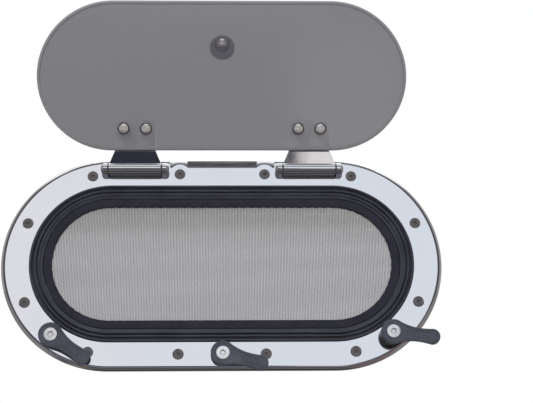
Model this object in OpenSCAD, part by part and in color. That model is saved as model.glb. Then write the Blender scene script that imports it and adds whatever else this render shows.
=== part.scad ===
// Opening porthole: stadium-shaped flange and spigot, hinged glass lid,
// three clamping levers and a removable insect screen.
// The wall side of the flange lies on y = 0, the cabin is on the -Y side and +Z is up.
// Sizes are in millimetres. The lid stands open at rest.

/* [Frame] */
// Half length of the straight sides, from the centre to each arc centre
straight_half = 111; // [100:1:130]
// Outer radius of the flange
flange_r = 109; // [107:0.5:112]
// Thickness of the flange
flange_t = 4.5; // [4.3:0.1:4.6]
// Rounding radius of the flange's outer edge
flange_edge_r = 4; // [3:0.25:4.25]
// Radius of the opening inside the flange and spigot
opening_r = 80.4; // [80.3:0.1:80.6]
// Outer radius of the spigot that passes through the wall
spigot_r = 84; // [83:0.5:85]
// Depth of the spigot behind the flange
spigot_depth = 36; // [20:1:60]
// Inner radius of the ledge that backs the seal and the screen
ledge_r = 62; // [60:0.5:64]

/* [Screws] */
// Radius of the screw and lever line, measured from the arc centres
screw_line_r = 93; // [92.5:0.1:93.5]
// Half spacing of the four screws nearest the middle
centre_screw_x = 43; // [38:0.5:45]
// Angle from vertical of the next four screws round the arc
corner_screw_angle = 12.5; // [11:0.5:15]
// Angle from vertical of the four screws at the ends
end_screw_angle = 64; // [60:0.5:66]
// Length of a flange screw
flange_screw_l = 20; // [16:1:40]
// Diameter of a flange screw's thread
flange_screw_d = 5; // [4:0.5:5]

/* [Seal and screen] */
// Height of the sealing ridges above the wall face
ridge_h = 6.2; // [5.5:0.1:6.2]
// Height of the outer lip round the lid's edge
lip_h = 7.2; // [6.5:0.1:7.4]
// Radius of the clear mesh window
window_r = 58.3; // [57:0.1:59]
// Outer radius of the screen's rings
screen_r = 67; // [66:0.1:67]

/* [Lid] */
// Radius of the glass pane
pane_r = 77; // [76:0.1:77]
// Thickness of the glass pane
pane_t = 8; // [7.8:0.1:8]
// Height of the closed pane's inner face above the wall face
pane_z = 6.5; // [6.5:0.1:6.6]
// How far the lid stands open at rest, in degrees
lid_open = 168; // [120:1:175]
// Distance from the hinge line to the knob's centre
knob_s = 128.5; // [124:0.5:132]
// Diameter of the pull knob
knob_d = 26; // [22:1:28]
// Height of the pull knob
knob_h = 15; // [12:1:15]

/* [Hinges] */
// Distance of each hinge from the middle
hinge_x = 88.3; // [87:0.1:90]
// Height of the hinge line above the opening's centre
axis_y = 96.1; // [95.8:0.1:96.3]
// Height of the hinge line above the wall face
axis_z = 12; // [12:0.1:12.1]
// Radius of the hinge barrel
barrel_r = 5.6; // [5:0.1:5.6]
// Length between the hinge's two lugs
barrel_gap = 54.6; // [53:0.1:55]
// Distance between the two lid screws of a hinge
lid_screw_gap = 22.5; // [20:0.5:24]
// Distance from the hinge line to the lid screws
lid_screw_s = 40.5; // [39:0.5:41]

/* [Levers] */
// Angle of the two outer levers below horizontal, about the arc centres
lever_angle = 53; // [51:1:54]
// Turn of the left lever at rest, in degrees above horizontal
left_rest = -35.3; // [-60:0.1:0]
// Turn of the centre lever at rest, in degrees above horizontal
centre_rest = -15.4; // [-40:0.1:0]
// Turn of the right lever at rest, in degrees above horizontal
right_rest = -8.2; // [-40:0.1:0]
// How far the right lever is wound out at rest
right_lift = 9; // [0:0.5:9]
// Radius of a lever's round head
lever_head_r = 12; // [11:0.1:12]
// Length from a lever's pivot to the centre of its tip
lever_l = 38; // [34:0.5:39]

/* [Hidden] */
$fn = 96;
eps = 0.01;

left = -1;
right = 1;
seal_seat_z = -3;             // front face of the ledge
ledge_t = 3;
seal_inner_r = 67.4;
screen_front_z = 3.2;
mesh_t = 0.4;
pad_t = 0.5;
leaf_t = 2.6;
leaf_l = 52;
leaf_tip_w = 40;
pin_r = 2.5;
run = 0.05;                   // radial running clearance on pins and screws
ear_t = 5;
washer_t = 0.8;
washer_gap = 0.1;             // play at each face of a hinge washer
pane_s = axis_y - pane_r;     // hinge line to the pane's near edge
pane_in = axis_z - pane_z;    // inner face of the pane, towards the wall from the hinge line
pane_out = pane_in - pane_t;  // outer face of the pane, negative on the cabin side
leaf_w = -pane_out + pad_t;   // near face of the leaf, towards the cabin from the hinge line
bush_r = 6;
lid_screw_r = 2.5;
pivot_r = 3;                  // lever pivot screw
pivot_head_r = 6.65;
lever_z = 5.5;                // underside of a lever's head when wound in
lever_top_z = 12.9;
arm_t = 5.4;
lever_bush_r = 4.5;
boss_r = 6.5;
boss_l = 15;                  // length behind the wall face
seat_h = 0.5;                 // depth of the seats in the back of the flange for the spigot and bosses
seat_gap = 0.1;               // gap round the spigot in its seat
hole_d = flange_screw_d + 0.6;
flange_head_r = 5;
neck_r = flange_screw_d / 2 + 0.2;
sink_r = flange_screw_d / 2 + 0.07;
sink_h = 3;                   // height of the countersinks' 45 degree cones
sink_depth = 2.9;             // how deep the cones start below the flat
pivot_l = 25;

// Points of the twelve flange screws, in the plane of the flange
function on_line(angle) = [straight_half + screw_line_r * sin(angle), screw_line_r * cos(angle)];
screw_quarter = [[centre_screw_x, screw_line_r], on_line(corner_screw_angle), on_line(end_screw_angle)];
screw_points = [for (p = screw_quarter, sx = [-1, 1], sy = [-1, 1]) [sx * p[0], sy * p[1]]];

// Pivots of the levers: on the screw line, the outer two down the arcs
outer_pivot = on_line(90 + lever_angle);
left_pivot = [-outer_pivot[0], outer_pivot[1]];
right_pivot = outer_pivot;
centre_pivot = [0.8, -screw_line_r];
pivots = [left_pivot, centre_pivot, right_pivot];

// ---- Shared shapes ----

// Turns a model built facing up so that it faces the cabin, with its Y axis up the wall
module on_wall() {
    rotate([90, 0, 0]) children();
}

// Carries a profile (x = radius, y = height) round the stadium
module stadium_sweep() {
    for (turn = [0, 180]) rotate([0, 0, turn]) {
        translate([straight_half, 0, 0]) rotate([0, 0, -90]) rotate_extrude(angle = 180) children();
        rotate([90, 0, 90]) linear_extrude(2 * straight_half, center = true) children();
    }
}

// Countersunk screw with its face at z = 0 and its tip down; socket is the width of its hex
module countersunk_screw(head_r, shank_r, length, socket) {
    rim = 0.4;
    difference() {
        union() {
            translate([0, 0, -rim]) cylinder(h = rim, r = head_r);
            translate([0, 0, -rim - head_r + shank_r]) cylinder(h = head_r - shank_r, r1 = shank_r, r2 = head_r);
            translate([0, 0, -length]) cylinder(h = length - rim, r = shank_r);
        }
        translate([0, 0, -2.4]) cylinder(h = 3, d = socket / cos(30), $fn = 6);
    }
}

// Button-headed screw with the underside of its head at z = 0
module button_screw(head_r, head_h, shank_r, length) {
    ball_r = (head_r * head_r + head_h * head_h) / (2 * head_h);
    difference() {
        union() {
            intersection() {
                translate([0, 0, head_h - ball_r]) sphere(ball_r);
                cylinder(h = head_h, r = head_r);
            }
            translate([0, 0, -length]) cylinder(h = length + head_h / 2, r = shank_r);
        }
        translate([0, 0, head_h - 1.7]) cylinder(h = 2, d = 3 / cos(30), $fn = 6);
    }
}

// ---- Frame ----

module flange_profile() {
    edge = flange_r - flange_edge_r;
    translate([opening_r, seat_h]) square([edge - opening_r, flange_t - seat_h]);
    translate([spigot_r + seat_gap, 0]) square([edge - spigot_r - seat_gap, seat_h + eps]);
    intersection() {
        translate([edge, flange_t - flange_edge_r]) circle(flange_edge_r);
        translate([edge - eps, 0]) square([flange_edge_r + 1, flange_t]);
    }
    translate([edge - eps, 0]) square([flange_edge_r + eps, flange_t - flange_edge_r]);
}

module spigot_profile() {
    translate([opening_r, -spigot_depth]) square([spigot_r - opening_r, spigot_depth + seat_h]);
    translate([ledge_r, seal_seat_z - ledge_t]) square([opening_r - ledge_r + eps, ledge_t]);
}

// Lowered strip along the flange's top edge between the hinges, left full round the two screws
module top_relief() {
    half_w = hinge_x - barrel_gap / 2 - ear_t - 3;
    relief_y = 101.4;
    difference() {
        translate([-half_w, relief_y, flange_t - 1.4]) cube([2 * half_w, 10, 3]);
        for (side = [left, right])
            translate([side * centre_screw_x, screw_line_r, 0]) cylinder(h = 10, r = 10.6);
    }
}

module main_frame() {
    color("gainsboro") on_wall() difference() {
        stadium_sweep() flange_profile();
        top_relief();
        for (p = screw_points) translate([p[0], p[1], 0]) {
            translate([0, 0, -eps]) cylinder(h = 6, d = hole_d);
            translate([0, 0, flange_t - sink_depth]) cylinder(h = sink_h, r1 = sink_r, r2 = sink_r + sink_h);
        }
        for (p = pivots) translate([p[0], p[1], 0]) {
            translate([0, 0, -1]) cylinder(h = 7, r = pivot_r + run);
            translate([0, 0, -eps]) cylinder(h = seat_h + eps, r = boss_r + 0.5);
        }
    }
}

// Tube welded behind the flange, with the ledge that the seal and the screen lie on
module spigot_ring() {
    color("silver") on_wall() stadium_sweep() spigot_profile();
}

// Tapped tubes behind the flange that take the lever pivot screws
module lever_bosses() {
    color("silver") on_wall() for (p = pivots) translate([p[0], p[1], -boss_l]) difference() {
        cylinder(h = boss_l + seat_h, r = boss_r);
        translate([0, 0, 1.5]) cylinder(h = boss_l, r = pivot_r + run);
    }
}

// The plain neck inside the flange is a little wider than the thread
module flange_screws() {
    color("gray") on_wall() for (p = screw_points) translate([p[0], p[1], 0]) {
        translate([0, 0, flange_t]) countersunk_screw(flange_head_r, flange_screw_d / 2, flange_screw_l, 3);
        cylinder(h = flange_t - sink_depth + 0.2, r = neck_r);
    }
}

// ---- Hinges ----

module hinge_lugs(side) {
    color("silver") on_wall() translate([side * hinge_x, axis_y, 0]) for (end = [-1, 1])
        translate([end * (barrel_gap + ear_t) / 2, 0, 0]) rotate([0, 90, 0]) difference() {
            linear_extrude(ear_t, center = true) {
                translate([-axis_z, 0]) circle(5.4);
                translate([-axis_z, -5.4]) square([axis_z - flange_t, 10.8]);
            }
            translate([-axis_z, 0, 0]) cylinder(h = ear_t + 1, r = pin_r + run, center = true);
        }
}

// Hinge pin with a low domed head outside each lug
module hinge_pin(side) {
    cap_x = barrel_gap / 2 + ear_t + eps;
    dome_h = 2.2;
    dome_r = 4.8;
    ball_r = (dome_r * dome_r + dome_h * dome_h) / (2 * dome_h);
    color("lightgray") on_wall() translate([side * hinge_x, axis_y, axis_z]) {
        rotate([0, 90, 0]) cylinder(h = 2 * cap_x + 1, r = pin_r, center = true);
        for (end = [-1, 1]) rotate([0, end * 90, 0]) translate([0, 0, cap_x]) intersection() {
            translate([0, 0, dome_h - ball_r]) sphere(ball_r);
            cylinder(h = dome_h, r = dome_r);
        }
    }
}

module hinge_washers(side) {
    color("dimgray") on_wall() translate([side * hinge_x, axis_y, axis_z]) for (end = [-1, 1])
        translate([end * (barrel_gap / 2 - washer_gap - washer_t / 2), 0, 0]) rotate([0, 90, 0]) difference() {
            cylinder(h = washer_t, r = 5, center = true);
            cylinder(h = 2, r = pin_r + run, center = true);
        }
}

// ---- Seal and screen ----

// Ridged rubber ring: an outer lip round the lid's edge and two ridges that the lid presses on
module rubber_seal() {
    outer = opening_r - 0.1;
    color("#26262b") on_wall() stadium_sweep() {
        translate([seal_inner_r, seal_seat_z]) square([outer - seal_inner_r, 3.4 - seal_seat_z]);
        translate([outer - 1.9, 3]) square([1.9, lip_h - 3]);
        for (r = [70.2, 74]) {
            translate([r, 3]) square([2, ridge_h - 4]);
            translate([r + 1, ridge_h - 1]) circle(1, $fn = 32);
        }
    }
}

module screen_ring(z0, z1, inner) {
    on_wall() stadium_sweep() translate([inner, z0]) square([screen_r - inner, z1 - z0]);
}

module screen_front_ring() {
    color("#3c3c46") screen_ring(mesh_t / 2, screen_front_z, window_r);
}

module screen_back_ring() {
    color("#3c3c46") screen_ring(seal_seat_z + 0.1, -mesh_t / 2, ledge_r + 1);
}

module insect_mesh() {
    color("darkgray") on_wall() stadium_sweep() translate([0, -mesh_t / 2]) square([screen_r - 0.8, mesh_t]);
}

// ---- Lid, built about the hinge line as it lies when closed ----
// Local axes: X along the hinge, Y up towards the hinge line, Z towards the cabin

module lid_place() {
    on_wall() translate([0, axis_y, axis_z]) rotate([-lid_open, 0, 0]) children();
}

module pane_profile() {
    bevel_w = 2.6;
    bevel_h = 1;
    polygon([
        [0, 0], [pane_r - bevel_w, 0], [pane_r, bevel_h],
        [pane_r, pane_t - bevel_h], [pane_r - bevel_w, pane_t], [0, pane_t]
    ]);
}

module at_lid_screws(sides) {
    for (side = sides, end = [-1, 1])
        translate([side * hinge_x + end * lid_screw_gap / 2, -lid_screw_s, 0]) children();
}

module lid_pane() {
    color([0.45, 0.45, 0.48, 0.8]) lid_place() difference() {
        translate([0, -axis_y, -pane_in]) stadium_sweep() pane_profile();
        at_lid_screws([left, right]) cylinder(h = 40, r = bush_r + run, center = true);
        translate([0, -knob_s, 0]) cylinder(h = 40, r = lid_screw_r + 1, center = true);
    }
}

// Trapezoid plate with a round end, joined to its barrel along the top
module leaf_outline() {
    root_w = barrel_gap - 2 * (washer_t + 2 * washer_gap) - 0.4;
    corner_r = 8;
    polygon([
        [-root_w / 2, 0], [-leaf_tip_w / 2, -pane_s - 3], [-leaf_tip_w / 2, -leaf_l + corner_r],
        [-leaf_tip_w / 2 + corner_r, -leaf_l], [leaf_tip_w / 2 - corner_r, -leaf_l],
        [leaf_tip_w / 2, -leaf_l + corner_r], [leaf_tip_w / 2, -pane_s - 3], [root_w / 2, 0]
    ]);
    for (end = [-1, 1]) translate([end * (leaf_tip_w / 2 - corner_r), -leaf_l + corner_r]) circle(corner_r);
}

module hinge_leaf(side) {
    barrel_l = barrel_gap - 2 * (washer_t + 2 * washer_gap);
    color("whitesmoke") lid_place() difference() {
        union() {
            translate([side * hinge_x, 0, leaf_w]) linear_extrude(leaf_t) leaf_outline();
            translate([side * hinge_x, 0, 0]) rotate([0, 90, 0])
                cylinder(h = barrel_l, r = barrel_r, center = true);
        }
        translate([side * hinge_x, 0, 0]) rotate([0, 90, 0])
            cylinder(h = barrel_l + 1, r = pin_r + run, center = true);
        at_lid_screws([side]) cylinder(h = 40, r = lid_screw_r + 0.02, center = true);
    }
}

module leaf_pad(side) {
    color("#55555c") lid_place() difference() {
        translate([side * hinge_x, 0, -pane_out]) linear_extrude(pad_t) intersection() {
            leaf_outline();
            translate([-leaf_tip_w, -leaf_l - 1]) square([2 * leaf_tip_w, leaf_l - pane_s - 2]);
        }
        at_lid_screws([side]) cylinder(h = 40, r = bush_r + run, center = true);
    }
}

// Nylon sleeves that keep the screws clear of the glass
module pane_bushes() {
    color("#2a2a30") lid_place() at_lid_screws([left, right]) translate([0, 0, -pane_in]) difference() {
        cylinder(h = pane_t + pad_t, r = bush_r);
        translate([0, 0, -1]) cylinder(h = pane_t + 3, r = lid_screw_r + 0.02);
    }
}

module hinge_screws(side) {
    color("white") lid_place() at_lid_screws([side]) translate([0, 0, -pane_in])
        rotate([180, 0, 0]) button_screw(4.7, 2.7, lid_screw_r, pane_t + pad_t + leaf_t);
}

// Mushroom knob on the cabin side of the lid
module pull_knob() {
    color("#2e3036") lid_place() translate([0, -knob_s, -pane_out]) difference() {
        rotate_extrude() difference() {
            union() {
                square([8.5, knob_h - 2]);
                translate([0, knob_h - 6]) square([knob_d / 2 - 2, 6]);
                translate([knob_d / 2 - 2, knob_h - 4]) circle(2, $fn = 48);
                translate([knob_d / 2 - 2, knob_h - 4]) square([2, 2]);
            }
            translate([knob_d / 2, knob_h - 8.5]) circle(3.6, $fn = 48);
            translate([-30, -1]) square([30, 40]);
        }
        translate([0, 0, -1]) cylinder(h = 9.5, r = lid_screw_r + 0.02);
    }
}

module knob_washer() {
    color("#2a2a30") lid_place() translate([0, -knob_s, -pane_in - 0.8]) difference() {
        cylinder(h = 0.8, r = 6.4);
        translate([0, 0, -1]) cylinder(h = 3, r = lid_screw_r + 0.1);
    }
}

module knob_screw() {
    color("white") lid_place() translate([0, -knob_s, -pane_in - 0.8])
        rotate([180, 0, 0]) button_screw(4.2, 2.4, lid_screw_r, pane_t + 0.8 + 7.5);
}

// ---- Levers, built about their pivots with the arm along X ----

module lever_place(pivot, lift) {
    on_wall() translate([pivot[0], pivot[1], lift]) children();
}

// Half width of the arm, from the round head through the neck to the tip
neck_x = 25;
neck_w = 6.6;
tip_w = 7.7;
head_x = 6;
function arm_half(x) = x < neck_x
    ? neck_w + (sqrt(lever_head_r * lever_head_r - head_x * head_x) - neck_w)
        * pow((neck_x - x) / (neck_x - head_x), 2)
    : neck_w + (tip_w - neck_w) * pow((x - neck_x) / (lever_l - neck_x), 2);
arm_steps = 14;
function arm_x(i) = head_x + (lever_l - head_x) * i / arm_steps;

module arm_outline() {
    upper = [for (i = [0:arm_steps]) [arm_x(i), arm_half(arm_x(i))]];
    lower = [for (i = [arm_steps:-1:0]) [arm_x(i), -arm_half(arm_x(i))]];
    polygon(concat(upper, lower));
    translate([lever_l, 0]) circle(tip_w);
}

module lever(pivot, lift, turn) {
    cone_h = pivot_head_r - pivot_r;
    color("#3a3d48") lever_place(pivot, lift) rotate([0, 0, turn]) difference() {
        union() {
            translate([0, 0, lever_z]) cylinder(h = lever_top_z - lever_z, r = lever_head_r);
            translate([0, 0, lever_top_z - arm_t]) linear_extrude(arm_t) arm_outline();
        }
        translate([0, 0, lever_top_z - 0.55]) cylinder(h = 1, r = pivot_head_r + 0.15);
        translate([0, 0, lever_top_z - 0.55 - cone_h])
            cylinder(h = cone_h, r1 = pivot_r + 0.15, r2 = pivot_head_r + 0.15);
        translate([0, 0, lever_z - 1]) cylinder(h = 4.4, r = lever_bush_r + 0.02);
    }
}

module lever_bush(pivot, lift) {
    color("goldenrod") lever_place(pivot, lift) translate([0, 0, lever_z]) difference() {
        cylinder(h = 3.3, r = lever_bush_r);
        translate([0, 0, -1]) cylinder(h = 6, r = pivot_r + run);
    }
}

module lever_washer(pivot, lift) {
    color("whitesmoke") lever_place(pivot, lift) translate([0, 0, flange_t + 0.1]) difference() {
        cylinder(h = 0.8, r = lever_head_r - 0.4);
        translate([0, 0, -1]) cylinder(h = 3, r = pivot_r + 0.02);
    }
}

module lever_screw(pivot, lift) {
    color("white") lever_place(pivot, lift) translate([0, 0, lever_top_z])
        countersunk_screw(pivot_head_r, pivot_r, pivot_l, 4);
}

main_frame();
spigot_ring();
lever_bosses();
flange_screws();
hinge_lugs(left);  // hinge_lugs_left
hinge_lugs(right);  // hinge_lugs_right
hinge_pin(left);  // hinge_pin_left
hinge_pin(right);  // hinge_pin_right
hinge_washers(left);  // hinge_washers_left
hinge_washers(right);  // hinge_washers_right
rubber_seal();
screen_front_ring();
insect_mesh();
screen_back_ring();
lid_pane();
hinge_leaf(left);  // hinge_leaf_left
hinge_leaf(right);  // hinge_leaf_right
leaf_pad(left);  // leaf_pad_left
leaf_pad(right);  // leaf_pad_right
pane_bushes();
hinge_screws(left);  // hinge_screws_left
hinge_screws(right);  // hinge_screws_right
pull_knob();
knob_washer();
knob_screw();
lever(left_pivot, 0, left_rest);  // lever_left
lever_bush(left_pivot, 0);  // lever_left_bush
lever_washer(left_pivot, 0);  // lever_left_washer
lever_screw(left_pivot, 0);  // lever_left_screw
lever(centre_pivot, 0, centre_rest);  // lever_centre
lever_bush(centre_pivot, 0);  // lever_centre_bush
lever_washer(centre_pivot, 0);  // lever_centre_washer
lever_screw(centre_pivot, 0);  // lever_centre_screw
lever(right_pivot, right_lift, right_rest);  // lever_right
lever_bush(right_pivot, right_lift);  // lever_right_bush
lever_washer(right_pivot, right_lift);  // lever_right_washer
lever_screw(right_pivot, right_lift);  // lever_right_screw
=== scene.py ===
import bmesh
import bpy
import numpy as np
from mathutils import Matrix, Vector


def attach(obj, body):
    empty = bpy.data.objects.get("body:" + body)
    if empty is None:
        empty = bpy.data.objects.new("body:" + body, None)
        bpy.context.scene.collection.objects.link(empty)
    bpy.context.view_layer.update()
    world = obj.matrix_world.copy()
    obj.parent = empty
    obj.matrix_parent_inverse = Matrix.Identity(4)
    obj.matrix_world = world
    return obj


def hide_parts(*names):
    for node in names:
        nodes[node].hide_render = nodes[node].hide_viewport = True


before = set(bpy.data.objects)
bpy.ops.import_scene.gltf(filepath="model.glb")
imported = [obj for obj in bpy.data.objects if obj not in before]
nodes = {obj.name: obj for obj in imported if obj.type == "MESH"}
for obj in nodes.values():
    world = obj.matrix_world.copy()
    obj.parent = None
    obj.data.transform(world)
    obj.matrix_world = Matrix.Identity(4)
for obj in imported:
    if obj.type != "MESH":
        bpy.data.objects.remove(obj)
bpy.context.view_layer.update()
print("frame loaded:", len(nodes), "nodes")

mm = 0.001
arcCentre = 111.0      # distance of the two arc centres from the middle
flangeTop = 4.5        # height of the flange's flat above the wall face
screwLine = 93.0       # radius of the screw and lever line
threadDepth = 0.42     # of a thread's pitch
weldDistance = 2e-6    # points nearer than this, in metres, become one
hinges = (("left", -1), ("right", 1))


cameraSet = {
    "place": (5.6, -1342.4, -376.9),
    "pitch": 18.225, "yaw": 1.677, "roll": -0.562,   # up, to the right, and about the line of sight
    "lens": 94.03, "sensor": 36.0, "far": 20.0,
}


# The camera's axes: ahead from pitch and yaw, then right and up turned by the roll.
def makeCamera(c):
    pitch, yaw, roll = np.radians([c["pitch"], c["yaw"], c["roll"]])
    ahead = np.array([np.sin(yaw) * np.cos(pitch), np.cos(yaw) * np.cos(pitch), np.sin(pitch)])
    right = np.array([np.cos(yaw), -np.sin(yaw), 0.0])
    up = np.cross(right, ahead)
    rightRolled = right * np.cos(roll) + up * np.sin(roll)
    upRolled = up * np.cos(roll) - right * np.sin(roll)
    data = bpy.data.cameras.new("camera")
    data.sensor_fit = "HORIZONTAL"
    data.sensor_width = c["sensor"]
    data.lens = c["lens"]
    data.clip_end = c["far"]
    camera = bpy.data.objects.new("camera", data)
    bpy.context.scene.collection.objects.link(camera)
    turn = Matrix(np.stack([rightRolled, upRolled, -ahead], 1).tolist()).to_4x4()
    camera.matrix_world = Matrix.Translation(Vector(c["place"]) * mm) @ turn
    bpy.context.scene.camera = camera


makeCamera(cameraSet)
bpy.context.scene.view_settings.view_transform = "Standard"


studio = {
    "white": (1.0, 1.0, 1.0),
    "softbox": (0.895, 0.94, 1.01),      # what the flat of the flange mirrors
    "lilac": (1.07, 1.01, 0.985),
    "gap": (0.13, 0.14, 0.18),           # navy ring round the softbox, then a darker one
    "dark": (0.055, 0.052, 0.055),
    "room": (0.42, 0.41, 0.41),
    "ceiling": (1.15, 1.16, 1.18),
    "aim": (0.0, -0.961, 0.276),         # towards the middle of the softbox
    "patch": (0.95, 0.90, 0.88),         # a pale wall low on the right
    "brown": (0.19, 0.14, 0.135),        # what stands low on the right
    "sides": (0.27, 0.245, 0.245),       # paler ground far out to both sides
    "mauve": (0.30, 0.285, 0.29),
    # rings about the aim, by the cosine of the angle from it
    "rings": [(0.0, "room"), (0.55, "mauve"), (0.72, "dark"), (0.84, "dark"), (0.90, "gap"), (0.966, "gap"),
              (0.974, "softbox")],
    # where one part fades into the next, as the direction's z, its x, or its x to either side
    "ceilingFade": (0.76, 0.86), "lilacFade": (-0.16, 0.02), "brownFade": (0.15, 0.5),
    "sidesFade": (0.5, 0.72),
    "patchLeft": (0.034, 0.062), "patchRight": (0.14, 0.11), "patchLow": (-0.17, -0.14),
    "horizon": (-0.01, 0.05),
    # bands below the horizon, by height of the direction plus one
    "bands": [(0.06, (0.03, 0.028, 0.03)), (0.10, (0.28, 0.26, 0.20)), (0.14, (0.28, 0.26, 0.20)),
              (0.18, (0.08, 0.076, 0.08)), (0.42, (0.09, 0.086, 0.095)), (0.55, (0.19, 0.185, 0.22)),
              (0.80, (0.19, 0.185, 0.22)), (0.87, (0.035, 0.035, 0.055))],
}


# A colour ramp with its stops from a list of (place, colour).
def colourRamp(tree, value, stops):
    ramp = tree.nodes.new("ShaderNodeValToRGB")
    while len(ramp.color_ramp.elements) < len(stops):
        ramp.color_ramp.elements.new(0.5)
    for element, (place, colour) in zip(ramp.color_ramp.elements, stops):
        element.position = place
        element.color = (*colour, 1)
    tree.links.new(value, ramp.inputs["Fac"])
    return ramp.outputs["Color"]


# Carries a value from one range to another, evenly or by a smooth step.
def mapRange(tree, value, limits, step="LINEAR"):
    node = tree.nodes.new("ShaderNodeMapRange")
    node.interpolation_type = step
    for name, limit in zip(("From Min", "From Max", "To Min", "To Max"), limits):
        node.inputs[name].default_value = limit
    tree.links.new(value, node.inputs["Value"])
    return node.outputs["Result"]


# Rises smoothly from 0 to 1 between two values, or falls if the first is the larger.
def fade(tree, value, zero, one):
    return mapRange(tree, value, (zero, one, 0, 1), "SMOOTHSTEP")


# One arithmetic step on sockets or numbers.
def calculate(tree, operation, first, second=0.0):
    node = tree.nodes.new("ShaderNodeMath")
    node.operation = operation
    for socket, value in zip(node.inputs, (first, second)):
        if isinstance(value, (int, float)):
            socket.default_value = value
        else:
            tree.links.new(value, socket)
    return node.outputs[0]


# Mixes or multiplies two colours, each a socket or a plain triple.
def mixColours(tree, factor, first, second, blend="MIX"):
    node = tree.nodes.new("ShaderNodeMix")
    node.data_type = "RGBA"
    node.blend_type = blend
    for name, value in (("Factor", factor), ("A", first), ("B", second)):
        if isinstance(value, tuple):
            node.inputs[name].default_value = (*value, 1)
        elif isinstance(value, (int, float)):
            node.inputs[name].default_value = value
        else:
            tree.links.new(value, node.inputs[name])
    return node.outputs["Result"]


# World: white to the camera. Reflections see rings about the aim, from the softbox to the dim room, under a
# bright ceiling, then dark bands below the horizon with one pale patch, all by the direction's three parts.
def makeWorld(s):
    world = bpy.data.worlds.new("studio")
    bpy.context.scene.world = world
    world.use_nodes = True
    tree = world.node_tree
    tree.nodes.clear()
    coord = tree.nodes.new("ShaderNodeTexCoord")
    aim = tree.nodes.new("ShaderNodeVectorMath")
    aim.operation = "DOT_PRODUCT"
    aim.inputs[1].default_value = s["aim"]
    tree.links.new(coord.outputs["Generated"], aim.inputs[0])
    parts = tree.nodes.new("ShaderNodeSeparateXYZ")
    tree.links.new(coord.outputs["Generated"], parts.inputs[0])
    x, y, z = parts.outputs
    disc = colourRamp(tree, aim.outputs["Value"], [(place, s[colour]) for place, colour in s["rings"]])
    disc = mixColours(tree, fade(tree, z, *s["ceilingFade"]), disc, s["ceiling"])
    tint = mixColours(tree, fade(tree, x, *s["lilacFade"]), s["lilac"], s["white"])
    above = mixColours(tree, 1.0, disc, tint, "MULTIPLY")
    under = colourRamp(tree, calculate(tree, "ADD", z, 1.0), s["bands"])
    under = mixColours(tree, fade(tree, x, *s["brownFade"]), under, s["brown"])
    under = mixColours(tree, fade(tree, calculate(tree, "ABSOLUTE", x), *s["sidesFade"]), under, s["sides"])
    patch = calculate(tree, "MULTIPLY", fade(tree, x, *s["patchLeft"]), fade(tree, x, *s["patchRight"]))
    patch = calculate(tree, "MULTIPLY", patch, fade(tree, z, *s["patchLow"]))
    patch = calculate(tree, "MULTIPLY", patch, calculate(tree, "LESS_THAN", y, 0.0))
    under = mixColours(tree, patch, under, s["patch"])
    everything = mixColours(tree, fade(tree, z, *s["horizon"]), under, above)
    around = tree.nodes.new("ShaderNodeBackground")
    tree.links.new(everything, around.inputs["Color"])
    plain = tree.nodes.new("ShaderNodeBackground")
    plain.inputs["Color"].default_value = (*s["white"], 1)
    path = tree.nodes.new("ShaderNodeLightPath")
    mix = tree.nodes.new("ShaderNodeMixShader")
    tree.links.new(path.outputs["Is Camera Ray"], mix.inputs["Fac"])
    tree.links.new(around.outputs["Background"], mix.inputs[1])
    tree.links.new(plain.outputs["Background"], mix.inputs[2])
    out = tree.nodes.new("ShaderNodeOutputWorld")
    tree.links.new(mix.outputs["Shader"], out.inputs["Surface"])


lamps = {
    "key": {"place": (-0.7, -1.1, 1.3), "size": 0.7, "power": 26,
            "colour": (1, 0.985, 0.96), "mirrored": False},
    "fill": {"place": (1.2, -1.2, 0.35), "size": 1, "power": 12,
             "colour": (0.93, 0.96, 1), "mirrored": False},
    "rim": {"place": (0.1, 1.1, 0.9), "size": 0.9, "power": 10,
            "colour": (1, 1, 1), "mirrored": True},
}


# Square lamps, each turned to face the middle of the part; the polish shows only those that are mirrored.
def makeLamps(lamps):
    for name, l in lamps.items():
        data = bpy.data.lights.new(name, "AREA")
        data.size = l["size"]
        data.energy = l["power"]
        data.color = l["colour"]
        lamp = bpy.data.objects.new(name, data)
        bpy.context.scene.collection.objects.link(lamp)
        lamp.location = l["place"]
        lamp.rotation_euler = (-Vector(l["place"])).to_track_quat("-Z", "Y").to_euler()
        lamp.visible_camera = False
        lamp.visible_glossy = l["mirrored"]


makeWorld(studio)
makeLamps(lamps)
print("camera and studio set")


# Smooth noise of a given grain, in cycles per metre.
def noise(tree, vector, scale, detail=2.0, stretch=None):
    texture = tree.nodes.new("ShaderNodeTexNoise")
    texture.inputs["Scale"].default_value = scale
    texture.inputs["Detail"].default_value = detail
    if stretch:
        mapping = tree.nodes.new("ShaderNodeMapping")
        mapping.inputs["Scale"].default_value = stretch
        tree.links.new(vector, mapping.inputs["Vector"])
        vector = mapping.outputs["Vector"]
    tree.links.new(vector, texture.inputs["Vector"])
    return texture.outputs["Fac"]


# Carries a noise's usual 0.3 to 0.7 to a range of values.
def spread(tree, value, low, high):
    return mapRange(tree, value, (0.3, 0.7, low, high))


# Adds a height to the shader's normal, over an earlier bump if there is one.
def addBump(tree, height, shader, strength, distance, under=None):
    node = tree.nodes.new("ShaderNodeBump")
    node.inputs["Strength"].default_value = strength
    node.inputs["Distance"].default_value = distance
    tree.links.new(height, node.inputs["Height"])
    if under is not None:
        tree.links.new(under, node.inputs["Normal"])
    tree.links.new(node.outputs["Normal"], shader.inputs["Normal"])
    return node.outputs["Normal"]


# Rings about a turned part's own axis: the sine of the distance stored on its vertices.
def turnedRings(tree, perMillimetre):
    stored = tree.nodes.new("ShaderNodeAttribute")
    stored.attribute_name = "fromAxis"
    turns = calculate(tree, "MULTIPLY", stored.outputs["Fac"], perMillimetre * 2 * np.pi)
    return calculate(tree, "SINE", turns)


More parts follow.
